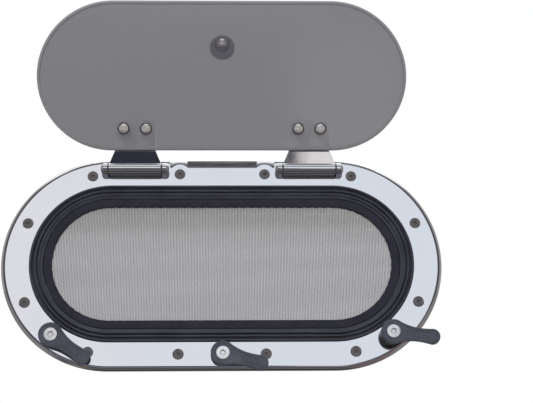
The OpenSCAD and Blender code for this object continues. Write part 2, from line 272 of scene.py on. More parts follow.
# Each finish's colours, roughness and noises: a noise is (cycles per metre, detail, stretch) and a bump is
# (strength, distance); "even" spreads the colour over its whole range, and "roughBy" gives the roughness to
# the fine noise.
# "top" is a painted shade colour that takes over as the height passes through the fade range given after it.
turnedHead = {"cloud": (260, 3), "rings": 2.4, "bump": (0.12, 0.00006), "metal": 1}
moulded = {"cloud": (60, 3), "even": True, "roughBy": "fine", "bump": (0.22, 0.00015)}
finishLooks = {
    # mirror-polished stainless: cloudy haze in the roughness, and a faint waviness that bends what it mirrors
    "steel": {"light": (0.765, 0.77, 0.785), "dark": (0.70, 0.71, 0.735), "rough": (0.035, 0.085), "metal": 1,
              "cloud": (14, 3), "fine": (900, 2, (1, 1, 0.08)), "bump": (0.03, 0.0001),
              "wave": (55, 1), "waveBump": (0.12, 0.0004)},
    # machined stainless of the tube and bosses behind the flange: fine lines along the depth
    "machined": {"light": (0.58, 0.57, 0.55), "dark": (0.42, 0.41, 0.40), "rough": (0.24, 0.42), "metal": 1,
                 "cloud": (25, 3), "fine": (700, 3, (1, 0.03, 1)), "roughBy": "fine", "bump": (0.15, 0.0002)},
    # turned screw heads: rings about the axis, with cloudy wear
    "flangeScrew": {**turnedHead, "light": (0.36, 0.34, 0.32), "dark": (0.22, 0.205, 0.20),
                    "rough": (0.34, 0.5), "rings": 2.1},
    "lidScrew": {**turnedHead, "light": (0.97, 0.95, 0.92), "dark": (0.80, 0.77, 0.74),
                 "rough": (0.22, 0.34), "metal": 0.85},
    "brightScrew": {**turnedHead, "light": (0.93, 0.925, 0.91), "dark": (0.74, 0.73, 0.72),
                    "rough": (0.12, 0.26)},
    # turned brass: fine tool lines along the depth
    "brass": {"light": (0.80, 0.62, 0.30), "dark": (0.58, 0.42, 0.18), "rough": (0.22, 0.4), "metal": 1,
              "cloud": (1200, 2, (1, 0.1, 1))},
    # black rubber: soft sheen, dusty patches and a fine moulded grain
    "rubber": {"light": (0.042, 0.045, 0.060), "dark": (0.027, 0.028, 0.039), "rough": (0.40, 0.58),
               "skin": 0.45, "cloud": (40, 4), "even": True, "fine": (1600, 3), "bump": (0.25, 0.0002)},
    # pale silicone of the pads between the glass and its hinge leaves
    "silicone": {"light": (0.88, 0.88, 0.88), "dark": (0.84, 0.84, 0.845), "rough": (0.5, 0.65),
                 "cloud": (90, 3)},
    # moulded plastics: cloudy colour, a satin skin and a fine spark-eroded grain
    "screenPlastic": {**moulded, "light": (0.020, 0.020, 0.030), "dark": (0.014, 0.014, 0.022),
                      "rough": (0.42, 0.55), "fine": (1200, 3), "skin": 0.25},
    "leverNylon": {**moulded, "light": (0.060, 0.065, 0.084), "dark": (0.040, 0.044, 0.058),
                   "rough": (0.38, 0.54), "fine": (900, 3)},
    "greyNylon": {**moulded, "light": (0.088, 0.087, 0.100), "dark": (0.070, 0.070, 0.082),
                  "rough": (0.35, 0.5), "fine": (1100, 3)},
    "blackNylon": {**moulded, "light": (0.026, 0.027, 0.033), "dark": (0.014, 0.015, 0.018),
                   "rough": (0.30, 0.46), "fine": (1100, 3)},
    # woven screen wire: dull grey in slow patches, with painted shade that makes it warmer and darker towards
    # the top of the window
    "wire": {"light": (0.225, 0.226, 0.250), "dark": (0.200, 0.201, 0.225), "rough": (0.4, 0.6),
             "cloud": (60, 3), "even": True, "top": (0.112, 0.102, 0.097), "topShadeFade": (0.015, 0.056)},
    # smoke-grey glass: a little light goes straight through, the rest is a grey body under a glossy skin
    "glass": {"light": (0.092, 0.089, 0.102), "dark": (0.087, 0.084, 0.097), "rough": (0.05, 0.09),
              "cloud": (12, 3), "clear": 0.32},
    # ground glass of the pane's bevel and rim: paler, with a fine scratched surface
    "ground": {"light": (0.20, 0.20, 0.21), "dark": (0.15, 0.15, 0.16), "rough": (0.25, 0.5),
               "cloud": (1500, 3), "bump": (0.2, 0.0001)},
    # the floor under the part: matt and pale
    "floor": {"light": (0.86, 0.86, 0.855), "dark": (0.82, 0.82, 0.815), "rough": (0.85, 0.85),
              "cloud": (3, 3)},
}


# A finish from its looks: the cloud noise gives the colour from dark to light, and it or the fine noise the
# roughness. The bump follows the turned rings, or else the fine noise, or else the cloud, on top of a slow
# wave where there is one.
def makeFinish(name, s):
    material = bpy.data.materials.new(name)
    material.use_nodes = True
    tree = material.node_tree
    shader = tree.nodes["Principled BSDF"]
    where = tree.nodes.new("ShaderNodeTexCoord").outputs["Object"]
    cloud = noise(tree, where, *s["cloud"])
    fine = noise(tree, where, *s["fine"]) if "fine" in s else cloud
    colourBy = spread(tree, cloud, 0, 1) if "even" in s else cloud
    roughBy = fine if "roughBy" in s else cloud
    colour = mixColours(tree, colourBy, s["dark"], s["light"])
    # painted shade: the colour fades into the darker, warmer "top" colour as the height rises
    if "top" in s:
        parts = tree.nodes.new("ShaderNodeSeparateXYZ")
        tree.links.new(where, parts.inputs[0])
        colour = mixColours(tree, fade(tree, parts.outputs["Z"], *s["topShadeFade"]), colour, s["top"])
    tree.links.new(colour, shader.inputs["Base Color"])
    tree.links.new(spread(tree, roughBy, *s["rough"]), shader.inputs["Roughness"])
    shader.inputs["Metallic"].default_value = s.get("metal", 0)
    shader.inputs["Specular IOR Level"].default_value = s.get("skin", 0.5)
    shader.inputs["Alpha"].default_value = 1 - s.get("clear", 0)
    wavy = None
    if "wave" in s:
        wavy = addBump(tree, noise(tree, where, *s["wave"]), shader, *s["waveBump"])
    if "bump" in s:
        addBump(tree, turnedRings(tree, s["rings"]) if "rings" in s else fine, shader, *s["bump"], wavy)
    return material


finishes = {name: makeFinish(name, look) for name, look in finishLooks.items()}
print("materials made:", len(finishes))


# Shapes are worked out in millimetres as (x along the wall, up the wall, out from the wall).

# Turns wall coordinates into the frame's own: out from the wall is -Y, up is +Z.
def onWall(points):
    points = np.asarray(points, float)
    return np.stack([points[..., 0], -points[..., 2], points[..., 1]], -1)


# Quads between neighbouring rows and columns; a looped direction joins its last line to its first.
def gridFaces(rows, columns, loopRows=False, loopColumns=True):
    lastRow = rows if loopRows else rows - 1
    lastColumn = columns if loopColumns else columns - 1
    a, b = np.meshgrid(np.arange(lastRow), np.arange(lastColumn), indexing="ij")
    nextA = (a + 1) % rows
    nextB = (b + 1) % columns
    quads = [a * columns + b, a * columns + nextB, nextA * columns + nextB, nextA * columns + b]
    return np.stack(quads, -1).reshape(-1, 4)


# Faces turned outwards: the sum of each quad's signed volume from the mean point is made positive.
def outward(points, faces):
    middle = points.mean(0)
    a, b, c, d = (points[faces[:, i]] - middle for i in range(4))
    volume = (a * np.cross(b, c)).sum() + (a * np.cross(c, d)).sum()
    return faces if volume > 0 else faces[:, ::-1]


# Row vectors turned by an angle about the axis that points out from the wall.
def turnedBy(angle):
    return np.array([[np.cos(angle), np.sin(angle), 0], [-np.sin(angle), np.cos(angle), 0], [0, 0, 1]])


# A sum of sines round a closed loop, each given as (waves round the loop, start, height).
def waves(loop, terms):
    return sum(np.sin(count * loop + start) * height for count, start, height in terms)


# A stadium's centre line as arc centres and outward angles: half circles joined by straight runs.
def stadiumPath(arcSteps, straightSteps, half=arcCentre):
    turn = np.linspace(-90, 90, arcSteps + 1)
    run = np.linspace(1, -1, straightSteps + 1)[1:-1]
    angle = np.concatenate([turn, np.full(len(run), 90.0), turn + 180, np.full(len(run), 270.0)])
    centre = half * np.concatenate([np.ones(len(turn)), run, -np.ones(len(turn)), -run])
    return centre, np.radians(angle)


# Carries a closed profile of (radius, height) points round the stadium: x = centre + r cos a, up = r sin a.
def sweepStadium(radius, height, centre, angle):
    radius = np.broadcast_to(radius, (len(centre), np.shape(radius)[-1]))
    height = np.broadcast_to(height, radius.shape)
    x = centre[:, None] + radius * np.cos(angle)[:, None]
    up = radius * np.sin(angle)[:, None]
    points = np.stack([x, up, height], -1).reshape(-1, 3)
    return points, outward(points, gridFaces(*radius.shape, True, True))


# A profile of (radius, height, hexagon share) turned about its axis: a share of 1 makes the ring a hexagon.
def turned(profile, steps=48):
    profile = np.array([(*p, 0) if len(p) == 2 else p for p in profile], float)
    turn = np.linspace(0, 2 * np.pi, steps, endpoint=False)
    corner = 1 / np.cos((turn + np.pi / 6) % (np.pi / 3) - np.pi / 6)
    radius = profile[:, :1] * (1 + profile[:, 2:] * (corner - 1))
    height = np.broadcast_to(profile[:, 1:2], radius.shape)
    points = np.stack([radius * np.cos(turn), radius * np.sin(turn), height], -1).reshape(-1, 3)
    return points, outward(points, gridFaces(*radius.shape)), radius.ravel()


# A plate with rounded edges: its outline goes inwards and up by quarter circles, then closes onto its core.
def roundedPlate(outline, core, low, high, edge, steps=5, sunk=None):
    along = np.roll(outline, -1, 0) - np.roll(outline, 1, 0)
    inward = np.stack([-along[:, 1], along[:, 0]], 1) / np.linalg.norm(along, axis=1)[:, None]
    bend = np.linspace(0, np.pi / 2, steps)
    inset = [edge * (1 - np.sin(b)) for b in bend] + [edge * (1 - np.cos(b)) for b in bend]
    height = [low + edge * (1 - np.cos(b)) for b in bend] + [high - edge * (1 - np.sin(b)) for b in bend]
    if sunk:                                            # a panel set into the top, inside a rim
        inset += [edge + sunk["rim"] + step for step, share in sunk["fall"]]
        height += [high - sunk["depth"] * share for step, share in sunk["fall"]]
    rings = [np.column_stack([outline + inward * i, np.full(len(outline), h)]) for i, h in zip(inset, height)]
    rings.insert(0, np.column_stack([core, np.full(len(core), low)]))
    rings.append(np.column_stack([core, np.full(len(core), height[-1])]))
    points = np.concatenate(rings)
    return points, outward(points, gridFaces(len(rings), len(outline)))


# A lathe part's threaded length as (radius, height) points: ridges and grooves of one pitch.
def thread(radius, fromHeight, toHeight, pitch):
    count = int(abs(toHeight - fromHeight) / pitch * 2)
    heights = np.linspace(fromHeight, toHeight, count)
    radii = radius - threadDepth * pitch * (np.arange(count) % 2)
    return list(zip(radii, heights))


# The lid lies about its hinge line: (along, down the glass, out) turned open by its angle.
lidSet = {"open": 168.0, "lineUp": 96.1, "lineOut": 12.0, "inner": 5.5, "outer": -2.5}


# Lid coordinates carried onto the wall: a turn about the hinge line, then a shift to it.
def onLid(points):
    points = np.asarray(points, float)
    turn = np.radians(-lidSet["open"])
    up = points[..., 1] * np.cos(turn) - points[..., 2] * np.sin(turn)
    out = points[..., 1] * np.sin(turn) + points[..., 2] * np.cos(turn)
    return np.stack([points[..., 0], up + lidSet["lineUp"], out + lidSet["lineOut"]], -1)


# Lid coordinates carried all the way to the frame's own.
def hung(points):
    return onWall(onLid(points))


# One mesh object from several parts (points, faces, distance from a turning axis), doubles merged, in metres.
def makeMesh(name, parts, material):
    parts = [(*p, np.zeros(len(p[0]))) if len(p) == 2 else p for p in parts]
    starts = np.cumsum([0] + [len(p[0]) for p in parts[:-1]])
    points = np.concatenate([p[0] for p in parts]) * mm
    faces = np.concatenate([p[1] + s for p, s in zip(parts, starts)])
    mesh = bpy.data.meshes.new(name)
    mesh.vertices.add(len(points))
    mesh.vertices.foreach_set("co", points.ravel())
    mesh.loops.add(faces.size)
    mesh.loops.foreach_set("vertex_index", faces.ravel())
    mesh.polygons.add(len(faces))
    mesh.polygons.foreach_set("loop_start", np.arange(0, faces.size, 4))
    mesh.update(calc_edges=True)
    stored = mesh.attributes.new("fromAxis", "FLOAT", "POINT")
    stored.data.foreach_set("value", np.concatenate([p[2] for p in parts]))
    work = bmesh.new()
    work.from_mesh(mesh)
    bmesh.ops.remove_doubles(work, verts=work.verts, dist=weldDistance)
    bmesh.ops.dissolve_degenerate(work, edges=work.edges, dist=weldDistance / 2)
    work.to_mesh(mesh)
    work.free()
    mesh.materials.append(material)
    piece = bpy.data.objects.new(name, mesh)
    bpy.context.scene.collection.objects.link(piece)
    return piece


# Cuts one closed mesh out of another, or joins it on, and drops the tool.
def combine(piece, tool, operation="DIFFERENCE"):
    step = piece.modifiers.new("combine", "BOOLEAN")
    step.object = tool
    step.operation = operation
    step.solver = "MANIFOLD"
    graph = bpy.context.evaluated_depsgraph_get()
    result = bpy.data.meshes.new_from_object(piece.evaluated_get(graph))
    piece.modifiers.clear()
    piece.data = result
    bpy.data.objects.remove(tool)


# Smooth shading with hard edges past an angle, and flat faces kept flat by weighted normals.
def shade(piece, sharp=38):
    piece.data.shade_smooth()
    piece.data.set_sharp_from_angle(angle=np.radians(sharp))
    weighted = piece.modifiers.new("flatFaces", "WEIGHTED_NORMAL")
    weighted.keep_sharp = True


# The last steps of every piece: shading, the body it rides on and the node it replaces.
def settle(piece, body, node):
    shade(piece)
    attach(piece, body)
    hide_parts(node)
    print("piece:", piece.name, len(piece.data.polygons), "faces")


# A piece that needs no cutting: its mesh, then the last steps.
def addPiece(name, parts, finish, body, node):
    piece = makeMesh(name, parts, finishes[finish])
    settle(piece, body, node)
    return piece


flange = {
    "outer": 109.0, "inner": 80.4, "edge": 4.0, "edgeWide": 4.9, "lip": 0.7,
    "reliefHalf": 53.0, "reliefUp": 99.9, "reliefDrop": (0.3, 1.5), "reliefFar": 2.05, "reliefRoof": 113.0,
    "boss": 10.6, "screws": [(43.0, 93.0), (131.129, 90.796), (194.588, 40.769)],
    "sink": [(0, -1), (2.75, -1), (2.75, 1.78), (5.42, 4.45), (5.62, 4.52), (6.1, 6), (0, 6)],
    "hole": [(0, -1), (3.05, -1), (3.05, 7), (0, 7)],
}
levers = {
    "left": {"pivot": (-166.969, -74.273), "lift": 0.0, "turn": -35.3},
    "centre": {"pivot": (0.8, -93.0), "lift": 0.0, "turn": -15.4},
    "right": {"pivot": (166.969, -74.273), "lift": 9.0, "turn": -8.2},
}
screwPoints = [(sx * x, sy * y) for x, y in flange["screws"] for sx in (-1, 1) for sy in (-1, 1)]


# The flange's section: a flat with a quarter-ellipse outer edge and a small rounded inner lip.
def flangeProfile(f):
    bend = np.linspace(0, np.pi / 2, 16)
    outerR = f["outer"] - f["edgeWide"] + f["edgeWide"] * np.cos(bend)
    outerH = flangeTop - f["edge"] + f["edge"] * np.sin(bend)
    lip = np.linspace(np.pi / 2, np.pi, 6)
    innerR = f["inner"] + f["lip"] + f["lip"] * np.cos(lip)
    innerH = flangeTop - f["lip"] + f["lip"] * np.sin(lip)
    radius = np.concatenate([[f["inner"], f["outer"]], outerR, innerR])
    height = np.concatenate([[0.0, 0.0], outerH, innerH])
    return radius, height


# The lowered strip: a box whose lower side bulges up round the two inner screws and whose floor falls
# away towards the flange's edge, by a little at the inner line and by `reliefDrop` at the outer one.
def reliefCutter(f):
    reach = np.arccos((f["reliefUp"] - screwLine) / f["boss"])
    bend = np.linspace(-reach, reach, 17)
    x, up = f["screws"][0]
    bulges = [np.column_stack([side * x + f["boss"] * np.sin(bend), up + f["boss"] * np.cos(bend)])
              for side in (-1, 1)]
    floor = np.concatenate([[(-f["reliefHalf"], f["reliefUp"])], *bulges, [(f["reliefHalf"], f["reliefUp"])]])
    roof = np.column_stack([floor[:, 0], np.full(len(floor), f["reliefRoof"])])
    drop = np.interp(floor[:, 1], [f["reliefUp"], f["outer"]], f["reliefDrop"])
    low = [flangeTop - drop, np.full(len(floor), flangeTop - f["reliefFar"])]
    rings = [np.column_stack([line, h]) for line, h in zip((floor, roof), low)]
    rings += [np.column_stack([line, np.full(len(floor), flangeTop + 2)]) for line in (roof, floor)]
    points = np.stack(rings).transpose(1, 0, 2).reshape(-1, 3)
    faces = gridFaces(len(floor), 4, False, True)
    n = len(points)
    caps = np.array([[3, 2, 1, 0], [n - 4, n - 3, n - 2, n - 1]])
    return points, np.concatenate([faces, caps])


# Swept section, then the countersunk holes, the lever holes and the lowered strip cut out of it.
def makeFlange(f):
    centre, angle = stadiumPath(96, 2)
    points, faces = sweepStadium(*flangeProfile(f), centre, angle)
    piece = makeMesh("flange", [(onWall(points), faces)], finishes["steel"])
    cuts = [turned(f["sink"], 48)[:2] for _ in screwPoints] + [turned(f["hole"], 32)[:2] for _ in levers]
    places = screwPoints + [l["pivot"] for l in levers.values()]
    cuts = [(onWall(p + np.array([*at, 0])), fs) for (p, fs), at in zip(cuts, places)]
    reliefPoints, reliefFaces = reliefCutter(f)
    reliefPoints = onWall(reliefPoints)
    cuts.append((reliefPoints, outward(reliefPoints, reliefFaces)))
    combine(piece, makeMesh("flangeCuts", cuts, finishes["steel"]))
    settle(piece, "frame", "main_frame")


makeFlange(flange)


screwHeads = {
    "flange": {"head": 5.1, "top": -0.5, "socket": 1.5, "flare": 0.25, "deep": 1.4,
               "shank": 2.5, "length": 20.0, "plain": 4.6, "pitch": 0.8},
    "pivot": {"head": 6.65, "top": 0.0, "socket": 1.9, "flare": 0.8, "deep": 1.5,
              "shank": 3.0, "length": 25.0, "plain": 8.0, "pitch": 1.0},
}
lastSocketAngle = 47


# A countersunk screw: flat head with a rounded rim, hexagon socket, cone and threaded shank.
def countersunkScrew(s):
    r, t, shank, long = s["head"], s["top"], s["shank"], s["length"]
    mouth, floor = s["socket"] + s["flare"], t - s["deep"]
    socket = [(0, floor), (s["socket"] * 0.55, floor, 1), (s["socket"], floor, 1),
              (s["socket"], t - s["flare"] * 0.9, 1), (mouth, t, 1), (mouth + 0.6, t)]
    rim = [(r - 0.45, t), (r - 0.12, t - 0.08), (r, t - 0.28), (r - 0.02, t - 0.5)]
    rim += [(shank, t - 0.5 - (r - shank))]
    body = [(shank, -s["plain"])] + thread(shank, -s["plain"] - 0.2, 0.7 - long, s["pitch"])
    tail = [(shank * 0.7, 0.35 - long), (shank * 0.6, -long), (0, -long)]
    return turned(socket + rim + body + tail, 64)


# The twelve flange screws as one piece, each in its countersink with its socket at its own angle.
def makeFlangeScrews():
    points, faces, away = countersunkScrew(screwHeads["flange"])
    angles = np.radians(np.linspace(0, lastSocketAngle, len(screwPoints)))
    parts = []
    for (x, up), angle in zip(screwPoints, angles):
        parts.append((onWall(points @ turnedBy(angle) + np.array([x, up, flangeTop])), faces, away))
    addPiece("flangeScrews", parts, "flangeScrew", "frame", "flange_screws")


makeFlangeScrews()


seal = {
    "inner": 67.4, "outer": 80.3, "foot": -3.0, "web": 3.4,
    # from the outside inwards: each bead's (middle, half width, top), then the hollow after it, as points
    # of (radius, height over the web)
    "beads": [(79.35, 0.95, 7.2), (75.0, 1.0, 6.2), (71.2, 1.0, 6.2)],
    "hollows": [[(78.35, 0.8), (77.9, 0.1), (76.8, 0), (76.15, 0.3)],
                [(73.85, 0.3), (73.1, -0.1), (72.4, 0.3)],
                [(70.05, 0.3), (69.2, 0), (68.2, 0), (67.7, -0.15), (67.42, -0.5)]],
    "wobble": 0.22, "freeHeight": 2.5, "lipFrom": 77.0,
    "drift": [(7, 0.6, 0.5), (19, 2.1, 0.3), (43, 0, 0.25)], "lift": [(11, 1.7, 0.5), (29, 0, 0.35)],
}


# A bead's top as a half circle of (radius, height) points.
def beadTop(middle, half, top, steps=7):
    bend = np.linspace(0, np.pi, steps)
    return [(middle - half * np.cos(b), top - half + half * np.sin(b)) for b in bend]


# Seal section: foot, web, two round-topped ridges and a taller outer lip.
def sealProfile(s):
    line = [(s["inner"], s["foot"]), (s["outer"], s["foot"]), (s["outer"] + 0.02, s["web"])]
    for bead, hollow in zip(s["beads"], s["hollows"]):
        line += beadTop(*bead)[::-1] + [(radius, s["web"] + height) for radius, height in hollow]
    return np.array(line)


# The beads wander a little in and out, and down, by sums of slow sines, more so the higher they stand.
def makeSeal(s):
    centre, angle = stadiumPath(110, 90)
    section = sealProfile(s)
    loop = np.linspace(0, 2 * np.pi, len(centre), endpoint=False)
    drift = waves(loop, s["drift"])[:, None]
    lift = waves(loop, s["lift"])[:, None]
    share = np.clip((section[:, 1] - s["web"]) / s["freeHeight"], 0, 1)
    way = np.where(section[:, 0] < s["lipFrom"], 1.0, -0.8)
    radius = section[None, :, 0] + s["wobble"] * drift * share * way
    radius = np.minimum(radius, s["outer"])
    height = section[None, :, 1] + s["wobble"] * 0.8 * (lift - 0.6) * share
    points, faces = sweepStadium(radius, height, centre, angle)
    addPiece("sealRing", [(onWall(points), faces)], "rubber", "frame", "rubber_seal")


makeSeal(seal)


screen = {
    "window": 58.3, "outer": 66.95, "top": 3.2, "bottom": 0.25, "round": 0.5,
    "land": [(63.5, 0.02), (61.5, 0.25)],                 # (radius, drop from the top)
    "tooth": 0.4, "teeth": [(331, 0, 0.6), (97, 1.0, 0.4)], "teethFrom": 60.5, "teethOver": 2.2,
    "warpPitch": 1.53, "weftPitch": 1.0, "warpWire": 0.64, "weftWire": 0.66, "rise": 0.12, "reach": 64.5,
}


# Screen rim: a softly rounded band whose inner edge is nibbled by the cut mesh under it.
def makeScreenRim(s):
    centre, angle = stadiumPath(260, 320)
    bend = np.linspace(0, np.pi / 2, 6)
    shoulder, top, r = s["outer"] - s["round"], s["top"] - s["round"], s["round"]
    line = [(s["outer"], s["bottom"]), (s["outer"], top)]
    line += [(shoulder + r * np.cos(b), top + r * np.sin(b)) for b in bend]
    line += [(radius, s["top"] - drop) for radius, drop in s["land"]]
    line += [(s["window"] + 1.2 - 1.2 * np.sin(b), s["bottom"] + 0.6 + 1.6 * np.cos(b)) for b in bend]
    line += [(s["window"], s["bottom"])]
    section = np.array(line)
    loop = np.linspace(0, 2 * np.pi, len(centre), endpoint=False)
    near = np.clip((s["teethFrom"] - section[:, 0]) / s["teethOver"], 0, 1)
    radius = section[None, :, 0] + s["tooth"] * waves(loop, s["teeth"])[:, None] * near
    points, faces = sweepStadium(radius, section[:, 1], centre, angle)
    addPiece("screenRim", [(onWall(points), faces)], "screenPlastic", "insect_screen",
             "screen_front_ring")


# Woven wires along one direction: each is a three-sided tube, over one crossing and under the next, that
# ends where the screen does.
def wires(s, upright):
    pitch = s["warpPitch"] if upright else s["weftPitch"]
    step = s["weftPitch"] if upright else s["warpPitch"]
    wide, high = arcCentre + s["reach"], s["reach"]
    limit = wide if upright else high
    count = int(limit / pitch)
    offsets = np.arange(-count, count + 1) * pitch
    parts = []
    thin = s["warpWire" if upright else "weftWire"] / 2
    for offset in offsets:
        inside = max(abs(offset) - arcCentre, 0) if upright else abs(offset)
        half = np.sqrt(high ** 2 - inside ** 2) + (0 if upright else arcCentre)
        crossings = int(half / step)
        if crossings < 1:
            continue
        counts = np.arange(-crossings, crossings + 1)
        along = counts * step
        odd = (counts + int(round(offset / pitch)) + (0 if upright else 1)) % 2
        height = np.where(odd == 0, s["rise"], -s["rise"])
        corners = np.array([(-1, -0.6), (1, -0.6), (0, 1)]) * thin
        across = offset + corners[:, 0][None, :] + 0 * along[:, None]
        deep = height[:, None] + corners[:, 1][None, :]
        line = np.broadcast_to(along[:, None], across.shape)
        order = [across, line, deep] if upright else [line, across, deep]
        points = np.stack(order, -1).reshape(-1, 3)
        faces = outward(points, gridFaces(len(along), 3))
        last = (len(along) - 1) * 3
        ends = np.array([[0, 1, 2, 2], [last + 2, last + 1, last, last]])
        firstNormal = np.cross(points[1] - points[0], points[2] - points[0])
        outwards = points[0] - points[3]
        ends = ends if firstNormal @ outwards > 0 else ends[:, ::-1]
        parts.append((onWall(points), np.concatenate([faces, ends])))
    return parts


# The woven screen: upright wires over and under level ones.
def makeWeave(s):
    warp = makeMesh("meshWarp", wires(s, True), finishes["wire"])
    weft = makeMesh("meshWeft", wires(s, False), finishes["wire"])
    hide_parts("insect_mesh")
    for piece in (warp, weft):
        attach(piece, "insect_screen")
        print("piece:", piece.name, len(piece.data.polygons), "faces")


makeScreenRim(screen)
makeWeave(screen)


pane = {"radius": 77.0, "thick": 8.0, "bevelIn": 2.6, "bevelDrop": 1.0, "hole": 6.05, "knobHole": 3.5,
        "cut": 20, "flatFrom": 0.99}
lidScrews = {"gap": 22.5, "down": 40.5, "hinge": 88.3}
knob = {
    "down": 128.5, "radius": 13.0, "high": 15.0, "bore": 2.52, "boreDeep": 8.5,
    "stem": [(8.3, 0), (8.5, 0.25), (8.5, 3.0), (8.65, 5.0), (9.3, 7.2)],
    "rim": {"in": 2.0, "down": 3.0, "wide": 2.0, "high": 2.6},
    "face": [(8.2, 0.32), (7.9, 0.7), (7.4, 0.7), (7.1, 0.35), (4, 0.55), (0, 0.65)],   # drop from the top
}


# Where a lid screw stands, in lid coordinates: the side (-1 or 1) picks the hinge and the end the screw.
def lidScrewAt(side, end, out=0):
    x = side * lidScrews["hinge"] + end * lidScrews["gap"] / 2
    return np.array([x, -lidScrews["down"], out])


# A closed cylinder to cut with, from one height to another.
def plug(radius, low, high, steps):
    return turned([(0, low), (radius, low), (radius, high), (0, high)], steps)[:2]


# Pane section from the line between the arc centres out to the ground bevels, the same on both faces.
def makePane(p):
    centre, angle = stadiumPath(96, 40)
    r, t, b, inset = p["radius"], p["thick"], p["bevelDrop"], p["bevelIn"]
    face = [(0, 0), (r - inset - 0.3, 0), (r - inset + 0.1, 0.05), (r - 0.25, b - 0.08), (r, b + 0.2)]
    profile = np.array(face + [(radius, t - height) for radius, height in face[::-1]])
    radius = np.broadcast_to(profile[:, 0], (len(centre), len(profile)))
    x = centre[:, None] + radius * np.cos(angle)[:, None]
    up = radius * np.sin(angle)[:, None]
    height = np.broadcast_to(profile[:, 1], radius.shape)
    local = np.stack([x, up - lidSet["lineUp"], height - lidSet["inner"]], -1).reshape(-1, 3)
    points = hung(local)
    faces = outward(points, gridFaces(len(centre), len(profile), True, False))
    piece = makeMesh("glassPane", [(points, faces)], finishes["glass"])
    piece.data.materials.append(finishes["ground"])
    points, faces = plug(p["hole"], -p["cut"], p["cut"], 48)
    cuts = [(hung(points + lidScrewAt(side, end)), faces) for side in (-1, 1) for end in (-1, 1)]
    points, faces = plug(p["knobHole"], -p["cut"], p["cut"], 32)
    cuts.append((hung(points + np.array([0, -knob["down"], 0])), faces))
    combine(piece, makeMesh("paneCuts", cuts, finishes["glass"]))
    facing = np.zeros(len(piece.data.polygons) * 3)
    piece.data.polygons.foreach_get("normal", facing)
    flat = hung([0, 0, 1]) - hung([0, 0, 0])
    tilt = np.abs(facing.reshape(-1, 3) @ flat)
    piece.data.polygons.foreach_set("material_index", (tilt < p["flatFrom"]).astype(np.int32))
    settle(piece, "lid", "lid_pane")
    piece.visible_shadow = False
    piece.visible_diffuse = False


leaf = {"root": 52.5, "tip": 41.0, "length": 52.0, "corner": 8.0, "near": 3.0, "thick": 2.6, "edge": 0.35,
        "barrel": 5.6, "bore": 2.55, "barrelLong": 52.6, "straight": 6.0, "shoulder": 19.5, "core": (16, 8),
        "padFrom": 20.6, "padHole": 6.05, "padCore": 5, "padGap": 0.02, "padThick": 0.46, "padEdge": 0.1}


# Leaf outline, anticlockwise: the wide root, straight tapers to the tip's width, then round corners.
def leafOutline(l):
    bend = np.linspace(0, np.pi / 2, 8)
    half, root, straight, c = l["tip"] / 2, l["root"] / 2, l["straight"], l["corner"]
    rightSide = [(root, 0.0), (root, -straight)]
    rightSide += [(root + (half - root) * k, -straight + (straight - l["shoulder"]) * k)
                  for k in np.linspace(0, 1, 6)[1:]]
    corner = [(half - c + c * np.cos(b), c - l["length"] - c * np.sin(b)) for b in bend]
    right = np.array(rightSide + corner)
    left = right[::-1] * np.array([-1, 1])
    return np.concatenate([right, left])[::-1]


# Each leaf is its plate and its barrel, a tube along the hinge line. A silicone pad lies under the plate: the
# plate's outline without its root, with two holes for the screws.
def makeLeaves(l):
    for name, side in hinges:
        outline = leafOutline(l)
        core = np.column_stack([np.zeros(len(outline)), outline[:, 1]])
        core[:, 1] = np.clip(core[:, 1], l["core"][0] - l["length"], -l["core"][1])
        points, faces = roundedPlate(outline, core, l["near"], l["near"] + l["thick"], l["edge"], 4)
        shift = np.array([side * lidScrews["hinge"], 0, 0])
        plate = (hung(points + shift), faces)
        half, r, e = l["barrelLong"] / 2, l["barrel"], l["edge"]
        tube = [(l["bore"], -half), (r - e, -half), (r, e - half), (r, half - e), (r - e, half),
                (l["bore"], half), (l["bore"], -half)]
        points, faces, _ = turned(tube, 56)
        barrel = (hung(points[:, [2, 0, 1]] + shift), faces)
        addPiece("hingeLeaf" + name.capitalize(), [plate, barrel], "steel", "lid",
                 "hinge_leaf_" + name)
        outline[:, 1] = np.minimum(outline[:, 1], -l["padFrom"])
        core[:, 1] = np.minimum(core[:, 1], -l["padFrom"] - l["padCore"])
        top = l["near"] - l["padGap"]
        points, faces = roundedPlate(outline, core, top - l["padThick"], top, l["padEdge"], 3)
        pad = makeMesh("leafPad" + name.capitalize(), [(hung(points + shift), faces)], finishes["silicone"])
        points, faces = plug(l["padHole"], 0, 5, 32)
        for end in (-1, 1):
            hole = [(hung(points + lidScrewAt(side, end)), faces)]
            combine(pad, makeMesh("hole", hole, finishes["silicone"]))
        settle(pad, "lid", "leaf_pad_" + name)


lug = {"round": 5.4, "thick": 5.0, "gap": 54.6, "edge": 0.5, "coreDown": 2.0}
pin = {"shaft": 2.45, "cap": 4.8, "high": 2.2, "clear": 0.05}


